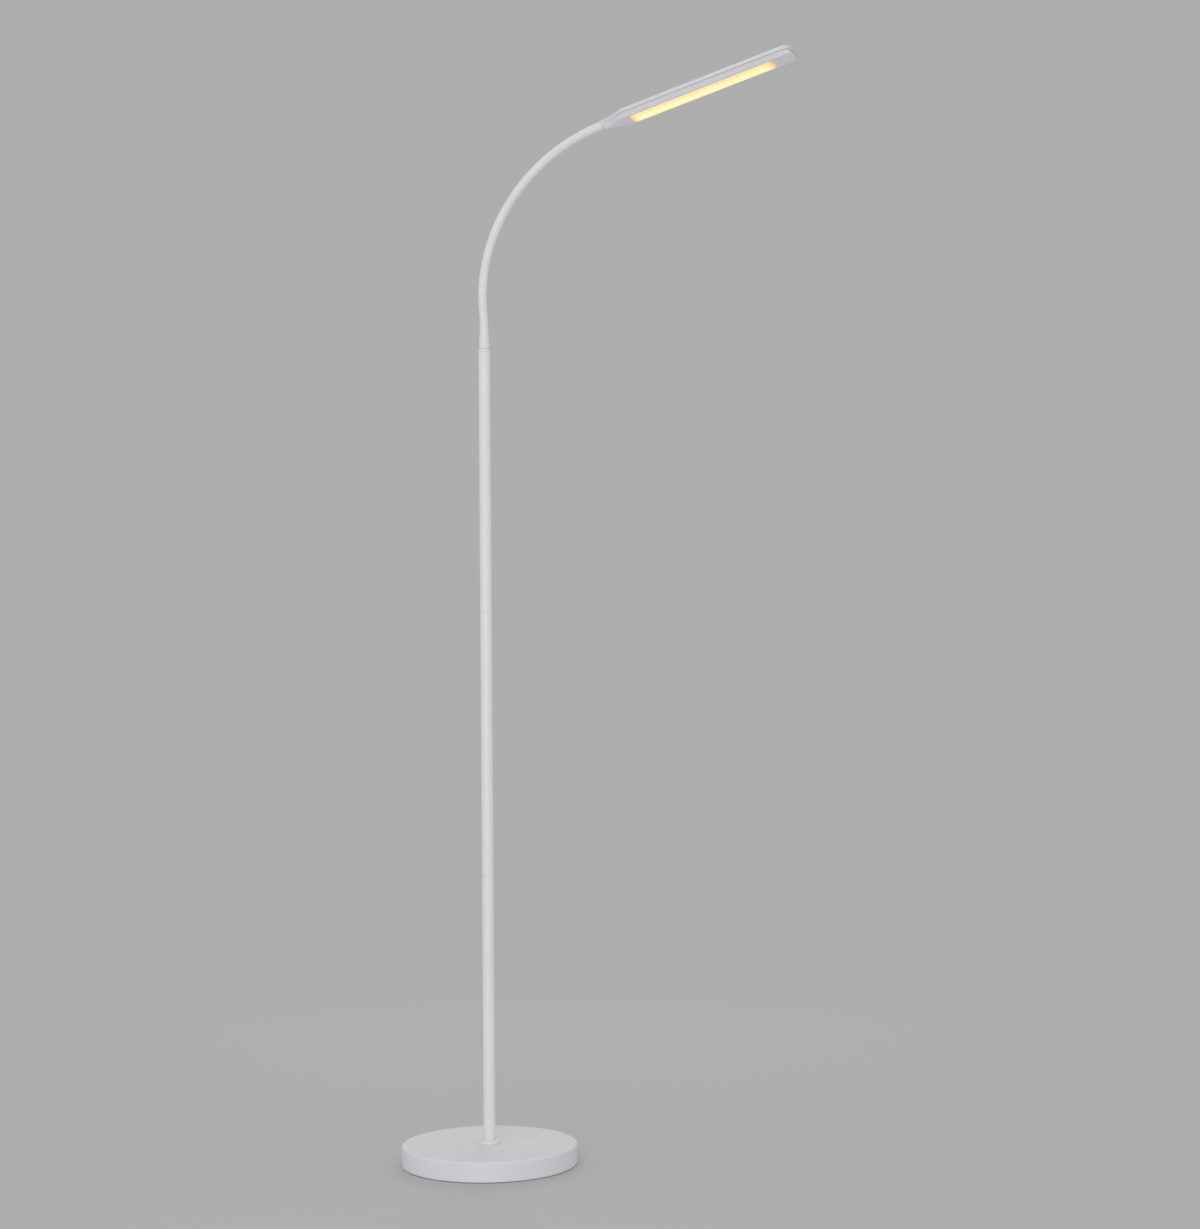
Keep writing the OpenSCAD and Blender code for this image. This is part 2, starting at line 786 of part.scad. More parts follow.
module leds() {
  color([1, 0.86, 0.45]) at_head() for (k = [0:led_count - 1])
    translate([led_x0 + k * led_pitch - led_w / 2, -led_w / 2, board_z - led_h]) cube([led_w, led_w, led_h]);
}

module board_screws() {
  color(steel) at_head() screw_places() {
    translate([0, 0, board_z - board_screw_head_h]) cylinder(r = board_screw_head_r, h = board_screw_head_h);
    translate([0, 0, board_z - board_screw_head_h])
      cylinder(r = board_screw_r, h = roof_z - board_z + board_screw_head_h - screw_tip_gap);
  }
}

module control_board() {
  color(green) at_head() translate([control_x, -control_w / 2, control_z]) cube([control_l, control_w, control_t]);
}

module push_switch() {
  body_h = switch_top_z - plunger_h - switch_z;
  color(rubber) at_head() translate([button_x, 0, switch_z]) {
    translate([-switch_w / 2, -switch_w / 2, 0]) cube([switch_w, switch_w, body_h]);
    cylinder(r = plunger_r, h = body_h + plunger_h);
  }
}

module power_button() {
  color([0.85, 0.86, 0.87]) at_head() translate([button_x, 0, 0]) difference() {
    union() {
      translate([0, 0, button_flange_z]) cylinder(r = button_r, h = button_top_z - button_flange_z);
      translate([0, 0, button_flange_z]) cylinder(r = button_r + button_flange_w, h = button_flange_h);
    }
    translate([0, 0, button_top_z + dish_r - dish_depth]) sphere(r = dish_r);
  }
}

module head_lead() {
  color(rubber) at_head() translate([head_lead_x, 0, head_lead_z]) rotate([0, 90, 0])
    cylinder(r = head_lead_r, h = button_x - switch_w / 2 - head_lead_gap - head_lead_x);
}

base_pad();
base_plate();
base_weight();
base_cover();
base_screws();
base_nipple();
base_washer();
base_nut();
cord_grommet();
post_collar();
lower_post();
middle_post();
upper_post();
post_inserts();
post_joiners();
post_lead();
post_cap();
neck_socket();
neck_root();
for (i = links) neck_link(i);
for (i = stretches) neck_sleeve(i);
neck_tip();
neck_ferrule();
neck_nut();
head_top_shell();
head_bottom_cover();
diffuser();
led_board();
leds();
heat_spreader();
board_screws();
control_board();
push_switch();
power_button();
head_lead();
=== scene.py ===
import math

import bmesh
import bpy
from mathutils import Matrix, Vector


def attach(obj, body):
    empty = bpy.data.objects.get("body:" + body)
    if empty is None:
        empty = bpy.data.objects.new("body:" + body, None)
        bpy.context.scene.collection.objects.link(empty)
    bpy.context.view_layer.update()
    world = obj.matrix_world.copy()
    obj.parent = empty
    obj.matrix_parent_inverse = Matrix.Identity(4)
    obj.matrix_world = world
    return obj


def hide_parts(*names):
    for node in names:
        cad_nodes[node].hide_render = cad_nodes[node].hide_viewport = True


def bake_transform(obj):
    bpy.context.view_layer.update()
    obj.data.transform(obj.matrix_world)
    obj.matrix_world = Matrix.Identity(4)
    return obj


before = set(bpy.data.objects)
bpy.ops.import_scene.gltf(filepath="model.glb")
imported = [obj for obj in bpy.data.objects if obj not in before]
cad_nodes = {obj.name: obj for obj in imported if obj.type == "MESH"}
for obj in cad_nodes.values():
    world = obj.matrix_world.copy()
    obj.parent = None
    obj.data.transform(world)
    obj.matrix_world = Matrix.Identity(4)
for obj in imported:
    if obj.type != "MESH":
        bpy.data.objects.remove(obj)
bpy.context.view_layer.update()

# Sizes are in millimetres, as in the part's source, unless a heading says metres
MM = 0.001
FIT = 0.05
FINE_EDGE = 0.3
ON_SEAM = 1e-4
ON_FACE = 0.01

# Base
BASE_R = 115.0
BASE_WALL = 2.5
BASE_H = 26.0
BASE_EDGE = 2.5
BASE_FOOT = 1.2
RIM_LIFT = 0.6
RIM_EDGE = 0.4
STUD_R = 5.05
PAD_R = 112.2
PAD_T = 3.0
PAD_EDGE = 0.8
GROMMET_Y = 110.0
GROMMET_Z = 11.5
GROMMET_L = 6.5
GROMMET_BORE = 3.0
GROMMET_R = 4.5
GROMMET_FLANGE = 6.5
INNER_FLANGE_T = 2.0
OUTER_FLANGE_T = 1.5
FLANGE_EDGE = 0.8
BORE_EDGE = 0.5
CORD_HOLE_L = 20.0
CORD_HOLE_BACK = 4.0

# Post, its cap and the socket of the gooseneck
COLLAR_R = 13.5
COLLAR_H = 4.5
COLLAR_EDGE = 1.2
POST_R = 8.0
POST_BORE = 6.8
SECTIONS = ["lower_post", "middle_post", "upper_post"]
SECTION_L = 348.5
JOINT_EDGE = 0.35
POST_TOP = BASE_H + len(SECTIONS) * SECTION_L
CAP_R = 8.3
CAP_H = 4.2
CAP_EDGE = 0.9
CAP_PLUG_L = 22.0
GROOVE_H = 0.5
BARREL_Z = POST_TOP + CAP_H + GROOVE_H
BARREL_H = 9.5
SOCKET_R = 7.1
SOCKET_EDGE = 0.4
CURVE_H = 11.8
CURVE_STEPS = 12
MOUTH_R = 5.95
SPIGOT_R = 5.7
SPIGOT_L = 22.7
LINK_R = 4.25
LINK_SEAT = 2.0
LEAD_BORE = 2.45

# Gooseneck
NECK_Z = BARREL_Z + BARREL_H + CURVE_H
STRETCHES = 11
STRETCH_L = 31.5
FIRST_BEND = -5.0
SECOND_BEND = 9.0
BEND_STEP = -0.2
SLEEVE_R = 5.8
SLEEVE_WALL = 0.7

# Head, along X from the ferrule
FERRULE_L = 4.0
FERRULE_R = 7.0
FERRULE_EDGE = 0.6
FERRULE_SEAM = 0.5
THREAD_R = 3.55
STUB_X = -12.0
ROOT_R = 7.5
ROOT_SOFTNESS = 0.35
BULKHEAD_X = 7.0
SHOULDER_X = 36.0
SHOULDER_EASE = 3.0
TIP_X = 270.0
HEAD_HALF = 25.0
TIP_R = 12.0
BOW_R = 90.0
FLAT_Z = -7.0
SEAM_Z = -2.0
WALL_TOP = 1.3
ROOF_Z = 2.0
CROWN_Z = 3.8
CROWN_RUN = 5.2
CROWN_STEPS = 8
LIP_W = 1.4
SHELL_WALL = 1.6
COVER_INSET = 1.9
TIP_INSET = 1.6
COVER_EDGE = 2.0
COVER_STEPS = 6
SIDE_DRAFT = 6.1
TIP_DRAFT = 0.8
ROOT_DRAFT = 3.0
CUT_PAST = 2.0

# Light strip and LEDs
STRIP_X = 42.0
STRIP_L = 198.0
STRIP_HALF = 13.5
STRIP_R = 3.0
STRIP_PROUD = 0.5
STRIP_BULGE = 1.5
STRIP_EDGE = 0.6
STRIP_BACK = 1.0
WINDOW_FIT = 0.15
WINDOW_BELOW = 3.0
WINDOW_ABOVE = 4.0
LED_COUNT = 21
LED_END = 7.0
LED_X0 = STRIP_X + LED_END
LED_PITCH = (STRIP_L - 2 * LED_END) / (LED_COUNT - 1)

# Power button
BUTTON_X = 22.0
BUTTON_R = 4.5
BUTTON_TOP = 6.3
BUTTON_EDGE = 0.5
BUTTON_FOOT = 2.1
LEDGE_W = 1.2
LEDGE_T = 0.9
DISH_R = 2.6
DISH_SLOPE = 0.22
DISH_DEPTH = 0.3
WELL_FIT = 0.3
WELL_H = 12.0

# Tolerances of the meshes, in metres
SAME_PLACE = 1e-6
MERGE_WITHIN = 1e-7

# Number of facets of round shapes, and where the head's faces are divided to take a curve
BASE_FACETS = 192
PAD_FACETS = 128
POST_FACETS = 96
SMALL_FACETS = 64
HOLE_FACETS = 48
SLEEVE_FACETS = 48
SLEEVE_STEPS = 20
CORNER_STEPS = 14
BOW_STEPS = 20
EASE_STEPS = 6
STRIP_CORNER_STEPS = 8
ROOT_SLICES = range(6, 37, 2)
HALF_SLICES = [1.5, 3, 4.5, 6, 8, 11, 14.5, 18, 22]
SIDE_SLICES = sorted([0] + HALF_SLICES + [-y for y in HALF_SLICES])
STRIP_SLICES = range(-12, 13, 2)


# The neck's resting curve

def bend(i):
    """Angle at the pivot of one stretch, in degrees."""
    return FIRST_BEND if i == 1 else SECOND_BEND + (i - 2) * BEND_STEP


def heading(i):
    """Lean from upright after a pivot, in degrees."""
    return sum(bend(k) for k in range(1, i + 1))


def along(i):
    """Direction of the neck after a pivot."""
    a = math.radians(heading(i))
    return Vector((math.sin(a), 0.0, math.cos(a)))


def pivot(i):
    if i == 1:
        return Vector((0.0, 0.0, NECK_Z + STRETCH_L / 2))
    return pivot(i - 1) + STRETCH_L * along(i - 1)


def middle(i):
    """Point half way from a pivot to the next, where two arcs of sleeve meet."""
    if i == 0:
        return Vector((0.0, 0.0, NECK_Z))
    return pivot(i) + STRETCH_L / 2 * along(i)


HEAD_PLACE = Matrix.Translation(middle(STRETCHES) * MM) @ Matrix.Rotation(
    math.radians(heading(STRETCHES) - 90), 4, "Y")
ALONG_HEAD = HEAD_PLACE @ Matrix.Rotation(math.radians(90), 4, "Y")


def add_object(name, data):
    made = bpy.data.objects.new(name, data)
    bpy.context.scene.collection.objects.link(made)
    return made


# Camera at the photograph's viewing angle: its place in metres, its sensor in millimetres

CAMERA_TURN = math.radians(25.0)
CAMERA_D = 2.7
CAMERA_H = 0.5933
CAMERA_YAW = math.radians(3.215)
CAMERA_PITCH = math.radians(2.681)
CAMERA_ROLL = math.radians(0.540)
FOCAL_PX = 2030.5
FRAME_PX = 1200.0
SENSOR_W = 36.0
NEAR_CLIP = 0.05
FAR_CLIP = 60.0


def place_camera():
    """Faces the lamp from the front, then yaws, pitches and rolls to the photograph's framing."""
    forward = Vector((-math.sin(CAMERA_TURN), math.cos(CAMERA_TURN), 0.0))
    right = Vector((math.cos(CAMERA_TURN), math.sin(CAMERA_TURN), 0.0))
    up = Vector((0.0, 0.0, 1.0))
    yawed = forward * math.cos(CAMERA_YAW) + right * math.sin(CAMERA_YAW)
    right = right * math.cos(CAMERA_YAW) - forward * math.sin(CAMERA_YAW)
    aim = yawed * math.cos(CAMERA_PITCH) + up * math.sin(CAMERA_PITCH)
    up = up * math.cos(CAMERA_PITCH) - yawed * math.sin(CAMERA_PITCH)
    side = right * math.cos(CAMERA_ROLL) - up * math.sin(CAMERA_ROLL)
    top = up * math.cos(CAMERA_ROLL) + right * math.sin(CAMERA_ROLL)
    data = bpy.data.cameras.new("camera")
    data.sensor_fit = "HORIZONTAL"
    data.sensor_width = SENSOR_W
    data.lens = SENSOR_W * FOCAL_PX / FRAME_PX
    data.clip_start = NEAR_CLIP
    data.clip_end = FAR_CLIP
    camera = add_object("camera", data)
    turn = Matrix((side, top, -aim)).transposed().to_4x4()
    spot = Vector((CAMERA_D * math.sin(CAMERA_TURN), -CAMERA_D * math.cos(CAMERA_TURN), CAMERA_H))
    camera.matrix_world = Matrix.Translation(spot) @ turn
    bpy.context.scene.camera = camera


place_camera()


# Shader nodes

def ranged(tree, value, low, high, to_low, to_high):
    """A value carried over from one range to another, and held inside it."""
    node = tree.nodes.new("ShaderNodeMapRange")
    node.inputs["From Min"].default_value = low
    node.inputs["From Max"].default_value = high
    node.inputs["To Min"].default_value = to_low
    node.inputs["To Max"].default_value = to_high
    tree.links.new(value, node.inputs["Value"])
    return node.outputs["Result"]


def feed(tree, socket, value):
    """Sets a socket to a number, or links it to another node's output."""
    if isinstance(value, (int, float)):
        socket.default_value = value
    else:
        tree.links.new(value, socket)


def maths(tree, operation, first, second=None):
    node = tree.nodes.new("ShaderNodeMath")
    node.operation = operation
    feed(tree, node.inputs[0], first)
    if second is not None:
        feed(tree, node.inputs[1], second)
    return node.outputs["Value"]


def noise(tree, vector, scale, detail, rough):
    node = tree.nodes.new("ShaderNodeTexNoise")
    node.inputs["Detail"].default_value = detail
    node.inputs["Roughness"].default_value = rough
    feed(tree, node.inputs["Scale"], scale)
    tree.links.new(vector, node.inputs["Vector"])
    return node.outputs["Fac"]


def own_coordinates(tree):
    return tree.nodes.new("ShaderNodeTexCoord").outputs["Object"]


def blend_colours(tree, share, low, high):
    """Goes from one colour to another as the share goes from 0 to 1."""
    node = tree.nodes.new("ShaderNodeMix")
    node.data_type = "RGBA"
    colours = [s for s in node.inputs if s.type == "RGBA"]
    for socket, value in zip(colours, (low, high)):
        if isinstance(value, tuple):
            socket.default_value = (*value, 1.0)
        else:
            tree.links.new(value, socket)
    tree.links.new(share, node.inputs["Factor"])
    return next(s for s in node.outputs if s.type == "RGBA")


# Shader groups shared by the finishes

COARSE_SCALE = 0.21
FINE_SHARE = 0.6
GRAIN_TONES = (0.3, 0.7)
PATCH_EDGE = 0.18
STREAK_DRAW = (1.0, 1.0, 0.04)
STREAK_TONES = (0.25, 0.75)


def group(name, inputs, outputs):
    """An empty group with named inputs, their usual values, and named outputs."""
    tree = bpy.data.node_groups.new(name, "ShaderNodeTree")
    for label, value in inputs:
        socket = tree.interface.new_socket(label, in_out="INPUT", socket_type="NodeSocketFloat")
        socket.default_value = value
    for label in outputs:
        tree.interface.new_socket(label, in_out="OUTPUT", socket_type="NodeSocketFloat")
    return tree, tree.nodes.new("NodeGroupInput"), tree.nodes.new("NodeGroupOutput")


def make_grain():
    """Fine tooth of a coat or moulding: a height for bump and a tone that follows it."""
    tree, given, put = group("fine_grain", [("Scale", 900.0)], ["Height", "Tone"])
    where = own_coordinates(tree)
    scale = given.outputs["Scale"]
    fine = noise(tree, where, scale, detail=3.0, rough=0.55)
    coarse = noise(tree, where, maths(tree, "MULTIPLY", scale, COARSE_SCALE), detail=2.0, rough=0.5)
    height = maths(tree, "ADD", maths(tree, "MULTIPLY", fine, FINE_SHARE),
                   maths(tree, "MULTIPLY", coarse, 1 - FINE_SHARE))
    tree.links.new(height, put.inputs["Height"])
    tree.links.new(ranged(tree, fine, *GRAIN_TONES, 0.0, 1.0), put.inputs["Tone"])
    return tree


def make_handling():
    """Broad soft patches where a surface has been handled or has gathered a little dust."""
    tree, given, put = group("handling", [("Scale", 9.0), ("Cover", 0.5)], ["Mask"])
    broad = noise(tree, own_coordinates(tree), given.outputs["Scale"], detail=4.0, rough=0.6)
    start = maths(tree, "SUBTRACT", 1.0, given.outputs["Cover"])
    node = tree.nodes.new("ShaderNodeMapRange")
    node.interpolation_type = "SMOOTHSTEP"
    tree.links.new(broad, node.inputs["Value"])
    tree.links.new(maths(tree, "SUBTRACT", start, PATCH_EDGE), node.inputs["From Min"])
    tree.links.new(maths(tree, "ADD", start, PATCH_EDGE), node.inputs["From Max"])
    tree.links.new(node.outputs["Result"], put.inputs["Mask"])
    return tree


def make_streaks():
    """Long fine lines of brushed or turned metal, drawn out along Z."""
    tree, given, put = group("streaks", [("Scale", 700.0)], ["Height", "Tone"])
    turn = tree.nodes.new("ShaderNodeMapping")
    turn.inputs["Scale"].default_value = STREAK_DRAW
    tree.links.new(own_coordinates(tree), turn.inputs["Vector"])
    lines = noise(tree, turn.outputs["Vector"], given.outputs["Scale"], detail=2.0, rough=0.6)
    tree.links.new(lines, put.inputs["Height"])
    tree.links.new(ranged(tree, lines, *STREAK_TONES, 0.0, 1.0), put.inputs["Tone"])
    return tree


GRAIN = make_grain()
HANDLING = make_handling()
STREAKS = make_streaks()


# Finishes

GLOSS_SPREAD = 0.06


def use_group(tree, which, **values):
    """Places a group in a material with its own values."""
    node = tree.nodes.new("ShaderNodeGroup")
    node.node_tree = which
    for label, value in values.items():
        node.inputs[label].default_value = value
    return node


def new_material(name):
    made = bpy.data.materials.new(name)
    made.use_nodes = True
    return made, made.node_tree, made.node_tree.nodes["Principled BSDF"]


def add_bump(tree, shader, height, depth):
    """Raises the surface by a height from 0 to 1, over a depth in millimetres."""
    bump = tree.nodes.new("ShaderNodeBump")
    bump.inputs["Strength"].default_value = 1.0
    bump.inputs["Distance"].default_value = depth * MM
    tree.links.new(height, bump.inputs["Height"])
    tree.links.new(bump.outputs["Normal"], shader.inputs["Normal"])


def finish(name, colour, worn, rough, grain, depth, patches=9.0, cover=0.45, metal=0.0, specular=0.5,
           texture=GRAIN, sheen=0.0):
    """A surface of two near tones, with its roughness and bump from a fine grain."""
    made, tree, shader = new_material(name)
    shader.inputs["Metallic"].default_value = metal
    shader.inputs["Specular IOR Level"].default_value = specular
    shader.inputs["Sheen Weight"].default_value = sheen
    tooth = use_group(tree, texture, Scale=grain)
    patch = use_group(tree, HANDLING, Scale=patches, Cover=cover).outputs["Mask"]
    tree.links.new(blend_colours(tree, patch, colour, worn), shader.inputs["Base Color"])
    gloss = ranged(tree, tooth.outputs["Tone"], 0.0, 1.0, rough - GLOSS_SPREAD, rough + GLOSS_SPREAD)
    dulled = maths(tree, "ADD", gloss, maths(tree, "MULTIPLY", patch, GLOSS_SPREAD))
    tree.links.new(dulled, shader.inputs["Roughness"])
    add_bump(tree, shader, tooth.outputs["Height"], depth)
    return made


WHITE_COAT = finish("white_coat", (0.79, 0.79, 0.797), (0.76, 0.76, 0.77),
                    rough=0.38, grain=650.0, depth=0.003)
# Painted shade: the base's cover has the same white coat as the post, given a darker, violet tone here for
# the shade it sits in.
BASE_SHADED_COAT = finish("base_coat_shaded", (0.755, 0.745, 0.772), (0.72, 0.71, 0.738),
                   rough=0.40, grain=520.0, depth=0.004, patches=7.0, cover=0.5)
# Painted shade and painted light: the head's top shell and bottom cover are one white plastic. The shell's
# darker tone is painted shade, and the cover's paler, lavender tone is painted light on the underside.
HEAD_SHADED_WHITE = finish("head_plastic_shaded", (0.70, 0.695, 0.71), (0.675, 0.67, 0.685),
                    rough=0.45, grain=1400.0, depth=0.002)
COVER_LIT_WHITE = finish("cover_plastic_lit", (0.785, 0.775, 0.805), (0.755, 0.745, 0.775),
                     rough=0.50, grain=1400.0, depth=0.002)
SLEEVE_WHITE = finish("sleeve_silicone", (0.785, 0.785, 0.79), (0.75, 0.75, 0.757),
                      rough=0.55, grain=1100.0, depth=0.003, patches=14.0, cover=0.5,
                      specular=0.4, sheen=0.08)
RING_WHITE = finish("ring_coat", (0.785, 0.785, 0.792), (0.75, 0.75, 0.76),
                    rough=0.34, grain=900.0, depth=0.002)
BUTTON_GREY = finish("button_plastic", (0.62, 0.63, 0.65), (0.56, 0.57, 0.59),
                     rough=0.30, grain=1200.0, depth=0.002, patches=30.0, cover=0.5)
PAD_FOAM = finish("pad_foam", (0.045, 0.045, 0.048), (0.07, 0.07, 0.072),
                  rough=0.86, grain=420.0, depth=0.2, patches=8.0, cover=0.4, specular=0.25)
GROMMET_RUBBER = finish("grommet_rubber", (0.05, 0.05, 0.053), (0.075, 0.075, 0.078),
                        rough=0.62, grain=900.0, depth=0.03, patches=40.0, cover=0.4)
STEEL = finish("zinc_steel", (0.60, 0.61, 0.63), (0.50, 0.51, 0.53),
               rough=0.34, grain=800.0, depth=0.01, patches=30.0, cover=0.5, metal=1.0, texture=STREAKS)
BRASS = finish("turned_brass", (0.72, 0.55, 0.26), (0.58, 0.42, 0.19),
               rough=0.30, grain=800.0, depth=0.01, patches=30.0, cover=0.5, metal=1.0, texture=STREAKS)
ALUMINIUM = finish("rolled_aluminium", (0.77, 0.78, 0.79), (0.68, 0.69, 0.70),
                   rough=0.38, grain=600.0, depth=0.01, patches=20.0, cover=0.5, metal=1.0,
                   texture=STREAKS)
CAST_IRON = finish("cast_iron", (0.10, 0.10, 0.105), (0.14, 0.125, 0.115),
                   rough=0.72, grain=260.0, depth=0.3, patches=12.0, cover=0.5, metal=0.6)
LEAD_SHEATH = finish("lead_sheath", (0.66, 0.66, 0.66), (0.58, 0.58, 0.585),
                     rough=0.48, grain=700.0, depth=0.02, patches=30.0, cover=0.5)
BOARD_WHITE = finish("board_lacquer", (0.82, 0.82, 0.79), (0.76, 0.76, 0.72),
                     rough=0.40, grain=900.0, depth=0.01, patches=40.0, cover=0.5)
BOARD_GREEN = finish("board_mask", (0.03, 0.16, 0.08), (0.05, 0.22, 0.11),
                     rough=0.36, grain=500.0, depth=0.02, patches=120.0, cover=0.5)
SWITCH_BLACK = finish("switch_plastic", (0.03, 0.03, 0.032), (0.05, 0.05, 0.052),
                      rough=0.5, grain=900.0, depth=0.01, patches=60.0, cover=0.5)


# Glow of the light strip

LED_SPREAD = 2.1
LED_REACH = 6.0
FAR_LIT_Y = 2.0
FAR_SIDE_SHARE = 0.5
END_WARM = 1.0
END_LIT = 9.0
STRIP_UNLIT = (0.10, 0.09, 0.06, 1.0)
STRIP_SPECULAR = 0.2
STRIP_GRAIN = 1500.0
STRIP_GRAIN_DEPTH = 0.01
STRIP_ROUGH = (0.45, 0.6)
GLOW_EDGE = (0.97, 0.58, 0.24)
GLOW_SIDE = (0.97, 0.76, 0.275)
GLOW_MIDDLE = (0.97, 0.89, 0.475)
GLOW_LED = (0.97, 0.97, 0.635)


def head_coordinates(tree):
    """Places along and across the head, in millimetres."""
    local = tree.nodes.new("ShaderNodeMapping")
    back = HEAD_PLACE.inverted()
    local.inputs["Rotation"].default_value = back.to_euler()
    local.inputs["Location"].default_value = back.to_translation()
    tree.links.new(own_coordinates(tree), local.inputs["Vector"])
    split = tree.nodes.new("ShaderNodeSeparateXYZ")
    tree.links.new(local.outputs["Vector"], split.inputs["Vector"])
    return [maths(tree, "DIVIDE", split.outputs[axis], MM) for axis in "XY"]


def led_dots(tree, x, y):
    """A soft spot over each LED: 1 at its middle, falling away along and across the strip."""
    step = maths(tree, "DIVIDE", maths(tree, "SUBTRACT", x, LED_X0), LED_PITCH)
    up_to_last = maths(tree, "MINIMUM", maths(tree, "ROUND", step), LED_COUNT - 1)
    nearest = maths(tree, "MAXIMUM", up_to_last, 0)
    dx = maths(tree, "MULTIPLY", maths(tree, "SUBTRACT", step, nearest), LED_PITCH)
    lengthways = maths(tree, "DIVIDE", maths(tree, "MULTIPLY", dx, dx), -2 * LED_SPREAD ** 2)
    sideways = maths(tree, "DIVIDE", maths(tree, "MULTIPLY", y, y), -2 * LED_REACH ** 2)
    return maths(tree, "POWER", math.e, maths(tree, "ADD", lengthways, sideways))


def glow_colour(tree):
    """Warm towards the edges and ends of the strip, paler over each of the LEDs behind it."""
    x, y = head_coordinates(tree)
    near = ranged(tree, y, -STRIP_HALF, 0.0, 0.0, 1.0)
    far = ranged(tree, y, STRIP_HALF, FAR_LIT_Y, FAR_SIDE_SHARE, 1.0)
    across = blend_colours(tree, maths(tree, "MULTIPLY", near, far), GLOW_SIDE, GLOW_MIDDLE)
    from_middle = maths(tree, "ABSOLUTE", maths(tree, "SUBTRACT", x, STRIP_X + STRIP_L / 2))
    from_end = maths(tree, "SUBTRACT", STRIP_L / 2, from_middle)
    lit = ranged(tree, from_end, END_WARM, END_LIT, 0.0, 1.0)
    body = blend_colours(tree, lit, GLOW_EDGE, across)
    return blend_colours(tree, maths(tree, "MULTIPLY", led_dots(tree, x, y), lit), body, GLOW_LED)


def make_glow(name, strength):
    """Lit plastic with a fine matt grain."""
    made, tree, shader = new_material(name)
    shader.inputs["Base Color"].default_value = STRIP_UNLIT
    shader.inputs["Specular IOR Level"].default_value = STRIP_SPECULAR
    shader.inputs["Emission Strength"].default_value = strength
    tree.links.new(glow_colour(tree), shader.inputs["Emission Color"])
    tooth = use_group(tree, GRAIN, Scale=STRIP_GRAIN)
    gloss = ranged(tree, tooth.outputs["Tone"], 0.0, 1.0, *STRIP_ROUGH)
    tree.links.new(gloss, shader.inputs["Roughness"])
    add_bump(tree, shader, tooth.outputs["Height"], STRIP_GRAIN_DEPTH)
    return made


DIFFUSER_GLOW = make_glow("lit_diffuser", strength=0.95)
LED_GLOW = make_glow("lit_leds", strength=1.2)


# Shaping

def round_off(bm, geom, size, segments, affect="EDGES"):
    """Rounds edges, or the corners of a flat face."""
    bmesh.ops.bevel(bm, geom=geom, offset=size * MM, offset_type="OFFSET", segments=segments,
                    profile=0.5, affect=affect, clamp_overlap=True, material=-1)


def at_ring(vert, radius, height):
    return (abs(math.hypot(vert.co.x, vert.co.y) - radius * MM) < SAME_PLACE
            and abs(vert.co.z - height * MM) < SAME_PLACE)


def lathe(profile, fillets, facets):
    """Closed outline of radius and height, spun about Z.

    A fillet gives the radius and height of an edge, and the size and segments of its rounding.
    """
    bm = bmesh.new()
    corners = [bm.verts.new((r * MM, 0.0, z * MM)) for r, z in profile]
    sides = [bm.edges.new((a, b)) for a, b in zip(corners, corners[1:] + corners[:1])]
    bmesh.ops.spin(bm, geom=corners + sides, cent=(0, 0, 0), axis=(0, 0, 1), angle=2 * math.pi,
                   steps=facets, use_merge=True)
    bmesh.ops.remove_doubles(bm, verts=bm.verts, dist=MERGE_WITHIN)
    bmesh.ops.recalc_face_normals(bm, faces=bm.faces)
    for radius, height, size, segments in fillets:
        ring = [e for e in bm.edges if all(at_ring(v, radius, height) for v in e.verts)]
        round_off(bm, ring, size, segments)
    return bm


def disc(radius, height, facets, fillets=()):
    """Solid round block that stands on the origin."""
    return lathe([(0.0, 0.0), (radius, 0.0), (radius, height), (0.0, height)], fillets, facets)


def carve(bm, *cutters):
    """The shape with other closed shapes taken out of it."""
    held = []
    for shape in (bm, *cutters):
        mesh = bpy.data.meshes.new("carving")
        shape.to_mesh(mesh)
        shape.free()
        held.append(add_object("carving", mesh))
    for cutter in held[1:]:
        step = held[0].modifiers.new("cut", "BOOLEAN")
        step.operation = "DIFFERENCE"
        step.solver = "EXACT"
        step.object = cutter
    seen = held[0].evaluated_get(bpy.context.evaluated_depsgraph_get())
    carved = bpy.data.meshes.new_from_object(seen)
    out = bmesh.new()
    out.from_mesh(carved)
    bpy.data.meshes.remove(carved)
    for thing in held:
        mesh = thing.data
        bpy.data.objects.remove(thing)
        bpy.data.meshes.remove(mesh)
    return out


def to_piece(name, bm, material, nodes, body=None, place=None, sharp=32.0, level=True):
    """The finished piece in its place, standing for the named nodes."""
    if place is not None:
        bmesh.ops.transform(bm, matrix=place, verts=bm.verts)
    mesh = bpy.data.meshes.new(name)
    bm.to_mesh(mesh)
    bm.free()
    mesh.polygons.foreach_set("use_smooth", [True] * len(mesh.polygons))
    mesh.set_sharp_from_angle(angle=math.radians(sharp))
    mesh.materials.append(material)
    made = add_object(name, mesh)
    if level:
        even = made.modifiers.new("even_normals", "WEIGHTED_NORMAL")
        even.keep_sharp = True
    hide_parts(*nodes)
    if body:
        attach(made, body)
    return made


# Base

def to_rear(y):
    """Lays a turned shape along Y, at the height of the cord's entry."""
    spot = Vector((0.0, y, GROMMET_Z)) * MM
    return Matrix.Translation(spot) @ Matrix.Rotation(math.radians(-90), 4, "X")


def make_base_shell():
    """Cover of the base, hollow from below, with a hole for the cord at the rear."""
    inner = BASE_R - BASE_WALL
    ceiling = BASE_H - BASE_WALL
    profile = [(inner, RIM_LIFT), (BASE_R, RIM_LIFT), (BASE_R, BASE_H), (STUD_R, BASE_H),
               (STUD_R, ceiling), (inner, ceiling)]
    fillets = [(BASE_R, BASE_H, BASE_EDGE, 8), (BASE_R, RIM_LIFT, BASE_FOOT, 4),
               (inner, RIM_LIFT, RIM_EDGE, 2)]
    shell = lathe(profile, fillets, BASE_FACETS)
    hole = disc(GROMMET_R + FIT, CORD_HOLE_L, HOLE_FACETS)
    bmesh.ops.transform(hole, matrix=to_rear(GROMMET_Y - CORD_HOLE_BACK), verts=hole.verts)
    to_piece("base_shell", carve(shell, hole), BASE_SHADED_COAT, ["base_cover"], "stand")


